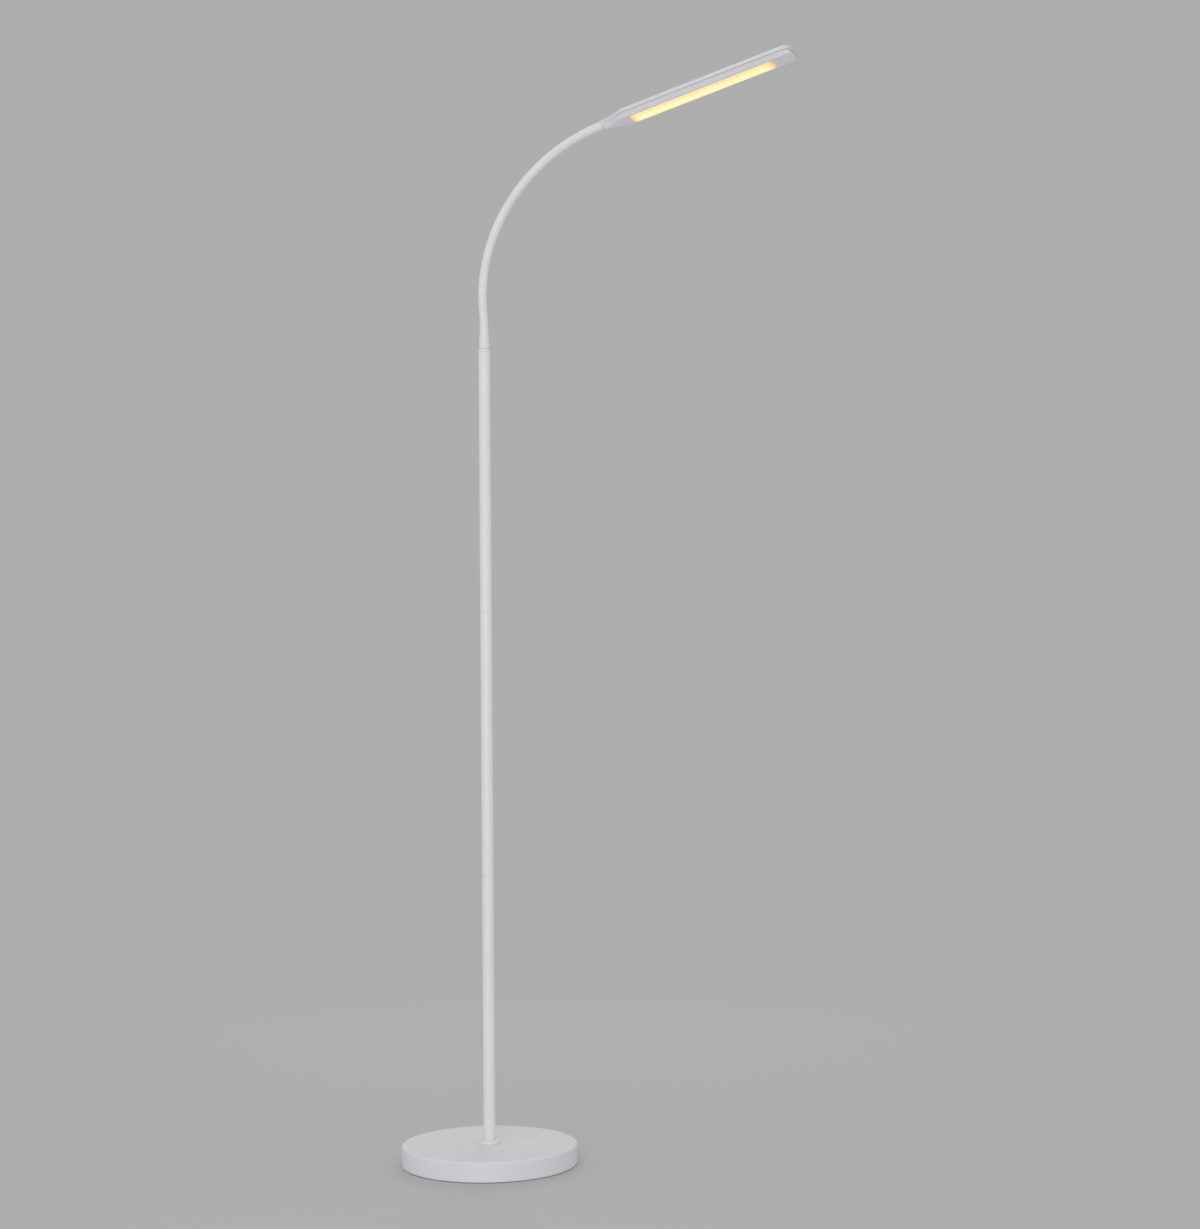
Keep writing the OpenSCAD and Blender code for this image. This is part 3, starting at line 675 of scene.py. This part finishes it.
def make_floor_pad():
    fillets = [(PAD_R, 0.0, PAD_EDGE, 4), (PAD_R, PAD_T, FINE_EDGE, 2)]
    pad = disc(PAD_R, PAD_T, PAD_FACETS, fillets)
    to_piece("floor_pad", pad, PAD_FOAM, ["base_pad"], "stand")


def make_cord_entry():
    """Grommet with a flange on each side of the base's wall."""
    waist = GROMMET_L - OUTER_FLANGE_T
    profile = [(GROMMET_BORE, 0.0), (GROMMET_FLANGE, 0.0), (GROMMET_FLANGE, INNER_FLANGE_T),
               (GROMMET_R, INNER_FLANGE_T), (GROMMET_R, waist), (GROMMET_FLANGE, waist),
               (GROMMET_FLANGE, GROMMET_L), (GROMMET_BORE, GROMMET_L)]
    fillets = [(GROMMET_FLANGE, GROMMET_L, FLANGE_EDGE, 4), (GROMMET_BORE, GROMMET_L, BORE_EDGE, 3)]
    grommet = lathe(profile, fillets, SMALL_FACETS)
    to_piece("cord_entry", grommet, GROMMET_RUBBER, ["cord_grommet"], "stand",
             to_rear(GROMMET_Y))


# Post

def make_foot_collar():
    bore = POST_R + FIT
    top = BASE_H + COLLAR_H
    profile = [(bore, BASE_H), (COLLAR_R, BASE_H), (COLLAR_R, top), (bore, top)]
    fillets = [(COLLAR_R, top, COLLAR_EDGE, 5), (COLLAR_R, BASE_H, FINE_EDGE, 2), (bore, top, FINE_EDGE, 2)]
    collar = lathe(profile, fillets, POST_FACETS)
    to_piece("foot_collar", collar, RING_WHITE, ["post_collar"], "stand")


def make_post_tubes():
    for k, node in enumerate(SECTIONS):
        low = BASE_H + k * SECTION_L
        high = low + SECTION_L
        profile = [(POST_BORE, low), (POST_R, low), (POST_R, high), (POST_BORE, high)]
        fillets = [(POST_R, low, JOINT_EDGE, 3), (POST_R, high, JOINT_EDGE, 3)]
        tube = lathe(profile, fillets, POST_FACETS)
        to_piece(node.replace("post", "tube"), tube, WHITE_COAT, [node], "stand")


def make_cap_ring():
    """Ring on top of the post, with a plug that sits in its bore."""
    bore = SPIGOT_R + FIT
    plug = POST_BORE - FIT
    low = POST_TOP - CAP_PLUG_L
    top = POST_TOP + CAP_H
    profile = [(bore, low), (plug, low), (plug, POST_TOP), (CAP_R, POST_TOP), (CAP_R, top), (bore, top)]
    fillets = [(CAP_R, POST_TOP, JOINT_EDGE, 3), (CAP_R, top, CAP_EDGE, 6)]
    cap = lathe(profile, fillets, POST_FACETS)
    to_piece("cap_ring", cap, RING_WHITE, ["post_cap"], "stand")


def make_neck_cup():
    """Socket with a straight barrel and a shoulder that curves in to the sleeve."""
    low = BARREL_Z - SPIGOT_L
    seat = BARREL_Z + LINK_SEAT
    profile = [(LEAD_BORE, low), (SPIGOT_R, low), (SPIGOT_R, BARREL_Z), (SOCKET_R, BARREL_Z)]
    for k in range(CURVE_STEPS + 1):
        rise = k / CURVE_STEPS
        radius = SOCKET_R - (SOCKET_R - MOUTH_R) * rise ** 2
        profile.append((radius, BARREL_Z + BARREL_H + CURVE_H * rise))
    profile += [(LINK_R, NECK_Z), (LINK_R, seat), (LEAD_BORE, seat)]
    fillets = [(SOCKET_R, BARREL_Z, SOCKET_EDGE, 3), (MOUTH_R, NECK_Z, FINE_EDGE, 3)]
    socket = lathe(profile, fillets, POST_FACETS)
    to_piece("neck_cup", socket, RING_WHITE, ["neck_socket"], "stand")


# Gooseneck sleeve

def make_sleeve():
    """One arc of tube for each stretch, curved to the resting bend of its pivot."""
    for i in range(1, STRETCHES + 1):
        turn = math.radians(bend(i))
        radius = STRETCH_L / 2 / math.tan(turn / 2)
        bm = bmesh.new()
        ring = bmesh.ops.create_circle(bm, segments=SLEEVE_FACETS, radius=SLEEVE_R * MM)["verts"]
        rim = list(bm.edges)
        bmesh.ops.spin(bm, geom=ring + rim, cent=(radius * MM, 0, 0), axis=(0, 1, 0), angle=turn,
                       steps=SLEEVE_STEPS, use_merge=False)
        bmesh.ops.recalc_face_normals(bm, faces=bm.faces)
        bmesh.ops.solidify(bm, geom=bm.faces, thickness=SLEEVE_WALL * MM)
        start = middle(i - 1)
        lean = Matrix.Rotation(math.radians(heading(i - 1)), 4, "Y")
        tube = to_piece(f"sleeve_{i}", bm, SLEEVE_WHITE, [f"neck_sleeve_{i}"],
                        place=Matrix.Translation(start * MM) @ lean, level=False)
        tuple(middle(i) * MM)
        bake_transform(tube)


# Shells of the head

def outline(root, half, end, corner, z):
    """Plan of the head as one face: a straight taper from the root, then a paddle with a bowed tip."""
    bm = bmesh.new()
    bow = BOW_R - end
    bow_x = TIP_X - BOW_R
    corner_y = half - corner
    corner_x = bow_x + math.sqrt((bow - corner) ** 2 - corner_y ** 2)
    lean = math.asin(corner_y / (bow - corner))
    swing = math.pi / 2 - lean
    for x, y in ((STUB_X, -root), (FERRULE_L, -root), (SHOULDER_X, -half), (corner_x, -half)):
        last = bm.verts.new((x * MM, y * MM, z * MM))
    arcs = [(corner_x, -corner_y, swing, CORNER_STEPS), (bow_x, 0.0, 2 * lean, BOW_STEPS),
            (corner_x, corner_y, swing, CORNER_STEPS)]
    for x, y, turn, steps in arcs:
        arc = bmesh.ops.spin(bm, geom=[last], cent=(x * MM, y * MM, z * MM), axis=(0, 0, 1), angle=turn,
                             steps=steps, use_merge=False)
        last = next(g for g in arc["geom_last"] if isinstance(g, bmesh.types.BMVert))
    for x, y in ((SHOULDER_X, half), (FERRULE_L, root), (STUB_X, root)):
        bm.verts.new((x * MM, y * MM, z * MM))
    bm.faces.new(bm.verts[:])
    shoulders = [v for v in bm.verts if abs(v.co.x - SHOULDER_X * MM) < SAME_PLACE]
    round_off(bm, shoulders, SHOULDER_EASE, EASE_STEPS, "VERTICES")
    return bm


def loft(levels):
    """Closed shell through a stack of plans of the head, each bridged to the next."""
    bm = bmesh.new()
    loops = []
    for level in levels:
        plan = outline(*level)
        ring = [bm.verts.new(v.co) for face in plan.faces for v in face.verts]
        plan.free()
        loops.append([bm.edges.new(pair) for pair in zip(ring, ring[1:] + ring[:1])])
    for first, second in zip(loops, loops[1:]):
        bmesh.ops.bridge_loops(bm, edges=first + second)
    for loop in (loops[0], loops[-1]):
        bmesh.ops.edgeloop_fill(bm, edges=loop)
    bmesh.ops.recalc_face_normals(bm, faces=bm.faces)
    return bm


def slice_up(bm, normal, places):
    """Divides the faces along planes, so that they can take a curve."""
    for place in places:
        geom = bm.verts[:] + bm.edges[:] + bm.faces[:]
        bmesh.ops.bisect_plane(bm, geom=geom, dist=MERGE_WITHIN, plane_co=Vector(normal) * place * MM,
                               plane_no=normal)


def trim_root(bm, start):
    """Cuts a shell off square at its root, and closes it there."""
    geom = bm.verts[:] + bm.edges[:] + bm.faces[:]
    cut = bmesh.ops.bisect_plane(bm, geom=geom, dist=MERGE_WITHIN, plane_co=(start * MM, 0, 0),
                                 plane_no=(1, 0, 0), clear_inner=True)
    edge = [g for g in cut["geom_cut"] if isinstance(g, bmesh.types.BMEdge)]
    bmesh.ops.holes_fill(bm, edges=edge, sides=0)
    bmesh.ops.recalc_face_normals(bm, faces=bm.faces)


def round_root(bm, half, sign):
    """Draws the root of a shell to a half round that meets the ferrule, above the seam or below it."""
    for v in bm.verts:
        x, y, z = v.co / MM
        if x > SHOULDER_X or sign * (z - SEAM_Z) < ON_SEAM:
            continue
        share = min(1.0, (SHOULDER_X - x) / (SHOULDER_X - FERRULE_L))
        smooth = share * share * (3 - 2 * share)
        share = smooth * ROOT_SOFTNESS + share * (1 - ROOT_SOFTNESS)
        width = ROOT_R + (half - ROOT_R) * (x - FERRULE_L) / (SHOULDER_X - FERRULE_L)
        across = min(1.0, abs(y) / width)
        arch = sign * ROOT_R * math.sqrt(max(0.0, 1.0 - across * across))
        goal = arch if sign * (arch - SEAM_Z) > 0 else SEAM_Z
        v.co.z = (z + (goal - z) * share) * MM


def shape_root(bm, half, sign):
    """Ends a shell at the ferrule: cut off square, divided and drawn round."""
    trim_root(bm, FERRULE_L)
    slice_up(bm, (1, 0, 0), ROOT_SLICES)
    slice_up(bm, (0, 1, 0), SIDE_SLICES)
    round_root(bm, half, sign)
    bmesh.ops.recalc_face_normals(bm, faces=bm.faces)


def strip_block(grow, low, high):
    """Rounded bar with the plan of the light strip, grown a little all round."""
    bm = bmesh.new()
    x0 = (STRIP_X - grow) * MM
    x1 = (STRIP_X + STRIP_L + grow) * MM
    half = (STRIP_HALF + grow) * MM
    plan = ((x0, -half), (x1, -half), (x1, half), (x0, half))
    corners = [bm.verts.new((x, y, low * MM)) for x, y in plan]
    bm.faces.new(corners)
    round_off(bm, corners, STRIP_R + grow, STRIP_CORNER_STEPS, "VERTICES")
    up = bmesh.ops.extrude_face_region(bm, geom=bm.faces[:])
    raised = [g for g in up["geom"] if isinstance(g, bmesh.types.BMVert)]
    bmesh.ops.translate(bm, verts=raised, vec=(0, 0, (high - low) * MM))
    bmesh.ops.recalc_face_normals(bm, faces=bm.faces)
    return bm


# Pieces of the head

def crown_levels():
    """Insets and heights of the top shell: a short wall that rolls over into the crown."""
    levels = [(0.0, SEAM_Z), (0.0, WALL_TOP)]
    for k in range(1, CROWN_STEPS + 1):
        turn = math.radians(90 * k / CROWN_STEPS)
        inset = CROWN_RUN * (1 - math.cos(turn))
        levels.append((inset, WALL_TOP + (CROWN_Z - WALL_TOP) * math.sin(turn)))
    return levels


def make_head_back():
    """Top shell, hollow from below, with a well for the power button."""
    top = loft([(ROOT_R - i, HEAD_HALF - i, i, TIP_R - i, z) for i, z in crown_levels()])
    shape_root(top, HEAD_HALF, 1)
    hollow = loft([(ROOT_R - LIP_W, HEAD_HALF - LIP_W, LIP_W, TIP_R - LIP_W, z)
                   for z in (SEAM_Z - CUT_PAST, ROOF_Z)])
    trim_root(hollow, BULKHEAD_X)
    well = disc(BUTTON_R + WELL_FIT, WELL_H, SMALL_FACETS)
    bmesh.ops.translate(well, verts=well.verts, vec=(BUTTON_X * MM, 0, 0))
    top = carve(top, hollow, well)
    to_piece("head_back", top, HEAD_SHADED_WHITE, ["head_top_shell"], "head", HEAD_PLACE,
             sharp=30.0)


def cover_levels():
    """Draw-in at the sides and at the tip of the bottom cover, and heights, down to its flat."""
    depth = SEAM_Z - FLAT_Z
    slope = math.atan2(depth, SIDE_DRAFT)
    round_h = COVER_EDGE * (1 - math.cos(slope))
    levels = [(0.0, 0.0, SEAM_Z)]
    for k in range(COVER_STEPS + 1):
        lean = slope * (1 - k / COVER_STEPS)
        rise = COVER_EDGE * (1 - math.cos(lean))
        side = SIDE_DRAFT + COVER_EDGE * (math.tan(slope / 2) - math.sin(lean))
        end = TIP_DRAFT * (depth - rise) / depth + round_h * (1 - math.sqrt(1 - (1 - rise / round_h) ** 2))
        levels.append((side, end, FLAT_Z + rise))
    return levels


def make_head_cover():
    """Bottom cover, hollow from above, with a window for the light strip."""
    half = HEAD_HALF - COVER_INSET
    corner = TIP_R - COVER_INSET
    cover = loft([(ROOT_R - side, half - side, TIP_INSET + end, corner - side, z)
                  for side, end, z in cover_levels()])
    shape_root(cover, half, -1)
    root = ROOT_R - SHELL_WALL
    inner = half - SHELL_WALL
    edge = COVER_INSET + SHELL_WALL
    bend_r = corner - SHELL_WALL
    tray = loft([(root, inner, edge, bend_r, SEAM_Z + CUT_PAST),
                 (root, inner, edge, bend_r, SEAM_Z),
                 (root - ROOT_DRAFT, inner - SIDE_DRAFT, edge + TIP_DRAFT, bend_r - SIDE_DRAFT,
                  FLAT_Z + SHELL_WALL)])
    trim_root(tray, BULKHEAD_X)
    window = strip_block(WINDOW_FIT, FLAT_Z - WINDOW_BELOW, FLAT_Z + WINDOW_ABOVE)
    cover = carve(cover, tray, window)
    to_piece("head_cover", cover, COVER_LIT_WHITE, ["head_bottom_cover"], "head", HEAD_PLACE,
             sharp=30.0)


def make_light_strip():
    """Diffuser with soft edges, which bulges a little below the cover's flat."""
    face = FLAT_Z - STRIP_PROUD
    lens = strip_block(0.0, face, FLAT_Z + SHELL_WALL + STRIP_BACK)
    lower = [e for e in lens.edges if all(v.co.z < (face + ON_FACE) * MM for v in e.verts)]
    round_off(lens, lower, STRIP_EDGE, 4)
    slice_up(lens, (0, 1, 0), STRIP_SLICES)
    for v in lens.verts:
        if v.co.z < FLAT_Z * MM:
            v.co.z -= STRIP_BULGE * max(0.0, 1 - (v.co.y / MM / STRIP_HALF) ** 2) * MM
    to_piece("light_strip", lens, DIFFUSER_GLOW, ["diffuser"], "head", HEAD_PLACE,
             sharp=40.0)


def make_head_ring():
    profile = [(THREAD_R, 0.0), (FERRULE_R, 0.0), (FERRULE_R, FERRULE_L), (THREAD_R, FERRULE_L)]
    fillets = [(FERRULE_R, 0.0, FERRULE_EDGE, 4), (FERRULE_R, FERRULE_L, FERRULE_SEAM, 3)]
    ferrule = lathe(profile, fillets, POST_FACETS)
    to_piece("head_ring", ferrule, HEAD_SHADED_WHITE, ["neck_ferrule"], "head", ALONG_HEAD)


def make_power_cap():
    """Button with a ledge that holds it in the shell, and a shallow dish for the finger."""
    ledge = BUTTON_R + LEDGE_W
    step = BUTTON_FOOT + LEDGE_T
    profile = [(0.0, BUTTON_FOOT), (ledge, BUTTON_FOOT), (ledge, step), (BUTTON_R, step),
               (BUTTON_R, BUTTON_TOP), (DISH_R, BUTTON_TOP - DISH_SLOPE), (0.0, BUTTON_TOP - DISH_DEPTH)]
    button = lathe(profile, [(BUTTON_R, BUTTON_TOP, BUTTON_EDGE, 4)], SMALL_FACETS)
    seat = HEAD_PLACE @ Matrix.Translation((BUTTON_X * MM, 0, 0))
    to_piece("power_cap", button, BUTTON_GREY, ["power_button"], "button", seat)


make_base_shell()
make_floor_pad()
make_cord_entry()
make_foot_collar()
make_post_tubes()
make_cap_ring()
make_neck_cup()
make_sleeve()
make_head_back()
make_head_cover()
make_light_strip()
make_head_ring()
make_power_cap()


# Finishes of the inner pieces, which keep their solids

INNER_FINISHES = {
    STEEL: ["base_plate", "base_screws", "base_washer", "base_nut", "post_joiners", "neck_root", "neck_tip",
            "neck_nut", "board_screws"] + [f"neck_link_{i}" for i in range(1, STRETCHES)],
    BRASS: ["base_nipple", "post_inserts"],
    CAST_IRON: ["base_weight"],
    LEAD_SHEATH: ["post_lead", "head_lead"],
    BOARD_WHITE: ["led_board"],
    LED_GLOW: ["leds"],
    ALUMINIUM: ["heat_spreader"],
    BOARD_GREEN: ["control_board"],
    SWITCH_BLACK: ["push_switch"],
}
for material, names in INNER_FINISHES.items():
    for name in names:
        mesh = cad_nodes[name].data
        mesh.materials.clear()
        mesh.materials.append(material)


# Studio, in metres

BACKDROP = (0.42, 0.42, 0.425)
AMBIENT = 0.62
FLOOR_BOUNCE = (0.72, 0.72, 0.73)
FLOOR_SEEN = (0.512, 0.512, 0.517)
FLOOR_HALF = 20.0
FADE_FROM = 0.35
FADE_TO = 1.6


def seen_rays(tree):
    """1 for rays that show a surface to the eye, in a mirror or through glass."""
    path = tree.nodes.new("ShaderNodeLightPath")
    direct = maths(tree, "MAXIMUM", path.outputs["Is Camera Ray"], path.outputs["Is Glossy Ray"])
    return maths(tree, "MAXIMUM", direct, path.outputs["Is Transmission Ray"])


def mix_shaders(tree, share, first, second, output):
    choice = tree.nodes.new("ShaderNodeMixShader")
    tree.links.new(share, choice.inputs["Fac"])
    tree.links.new(first, choice.inputs[1])
    tree.links.new(second, choice.inputs[2])
    tree.links.new(choice.outputs["Shader"], tree.nodes[output].inputs["Surface"])


def make_world():
    """Even white light from all round, and a plain backdrop where the world is seen."""
    world = bpy.data.worlds.new("studio")
    bpy.context.scene.world = world
    world.use_nodes = True
    tree = world.node_tree
    lit = tree.nodes["Background"]
    lit.inputs["Color"].default_value = (1.0, 1.0, 1.0, 1.0)
    lit.inputs["Strength"].default_value = AMBIENT
    shown = tree.nodes.new("ShaderNodeBackground")
    shown.inputs["Color"].default_value = (*BACKDROP, 1.0)
    shown.inputs["Strength"].default_value = 1.0
    mix_shaders(tree, seen_rays(tree), lit.outputs["Background"], shown.outputs["Background"],
                "World Output")


def make_floor():
    """Floor that takes the shadow near the lamp and fades into the backdrop further out."""
    made, tree, shader = new_material("studio_floor")
    shader.inputs["Roughness"].default_value = 0.9
    shader.inputs["Specular IOR Level"].default_value = 0.1
    seen = seen_rays(tree)
    tree.links.new(blend_colours(tree, seen, FLOOR_BOUNCE, FLOOR_SEEN), shader.inputs["Base Color"])
    reach = tree.nodes.new("ShaderNodeVectorMath")
    reach.operation = "LENGTH"
    tree.links.new(own_coordinates(tree), reach.inputs[0])
    fade = ranged(tree, reach.outputs["Value"], FADE_FROM, FADE_TO, 0.0, 1.0)
    flat = tree.nodes.new("ShaderNodeEmission")
    flat.inputs["Color"].default_value = (*BACKDROP, 1.0)
    mix_shaders(tree, maths(tree, "MULTIPLY", fade, seen), shader.outputs["BSDF"], flat.outputs["Emission"],
                "Material Output")
    bm = bmesh.new()
    bmesh.ops.create_grid(bm, x_segments=8, y_segments=8, size=FLOOR_HALF)
    mesh = bpy.data.meshes.new("studio_floor")
    bm.to_mesh(mesh)
    bm.free()
    mesh.materials.append(made)
    floor = add_object("studio_floor", mesh)


def soft_box(name, spot, aim, size, power, gleam=True):
    """Round area light, with or without a reflection of its own."""
    data = bpy.data.lights.new(name, "AREA")
    data.shape = "DISK"
    data.size = size
    data.energy = power
    lamp = add_object(name, data)
    away = Vector(spot) - Vector(aim)
    lamp.matrix_world = Matrix.Translation(spot) @ away.to_track_quat("Z", "Y").to_matrix().to_4x4()
    lamp.visible_glossy = gleam


make_world()
make_floor()
soft_box("key", spot=(0.6, -2.8, 2.3), aim=(0.05, 0.0, 1.0), size=1.6, power=16.0)
soft_box("low_front", spot=(0.9, -2.6, 0.3), aim=(0.2, 0.0, 1.3), size=1.4, power=16.0)
soft_box("top", spot=(0.2, -0.3, 3.4), aim=(0.1, 0.0, 0.8), size=2.0, power=5.0)
soft_box("back", spot=(-0.9, 2.7, 1.7), aim=(0.1, 0.0, 0.8), size=1.6, power=18.0, gleam=False)
bpy.context.scene.view_settings.view_transform = "Standard"
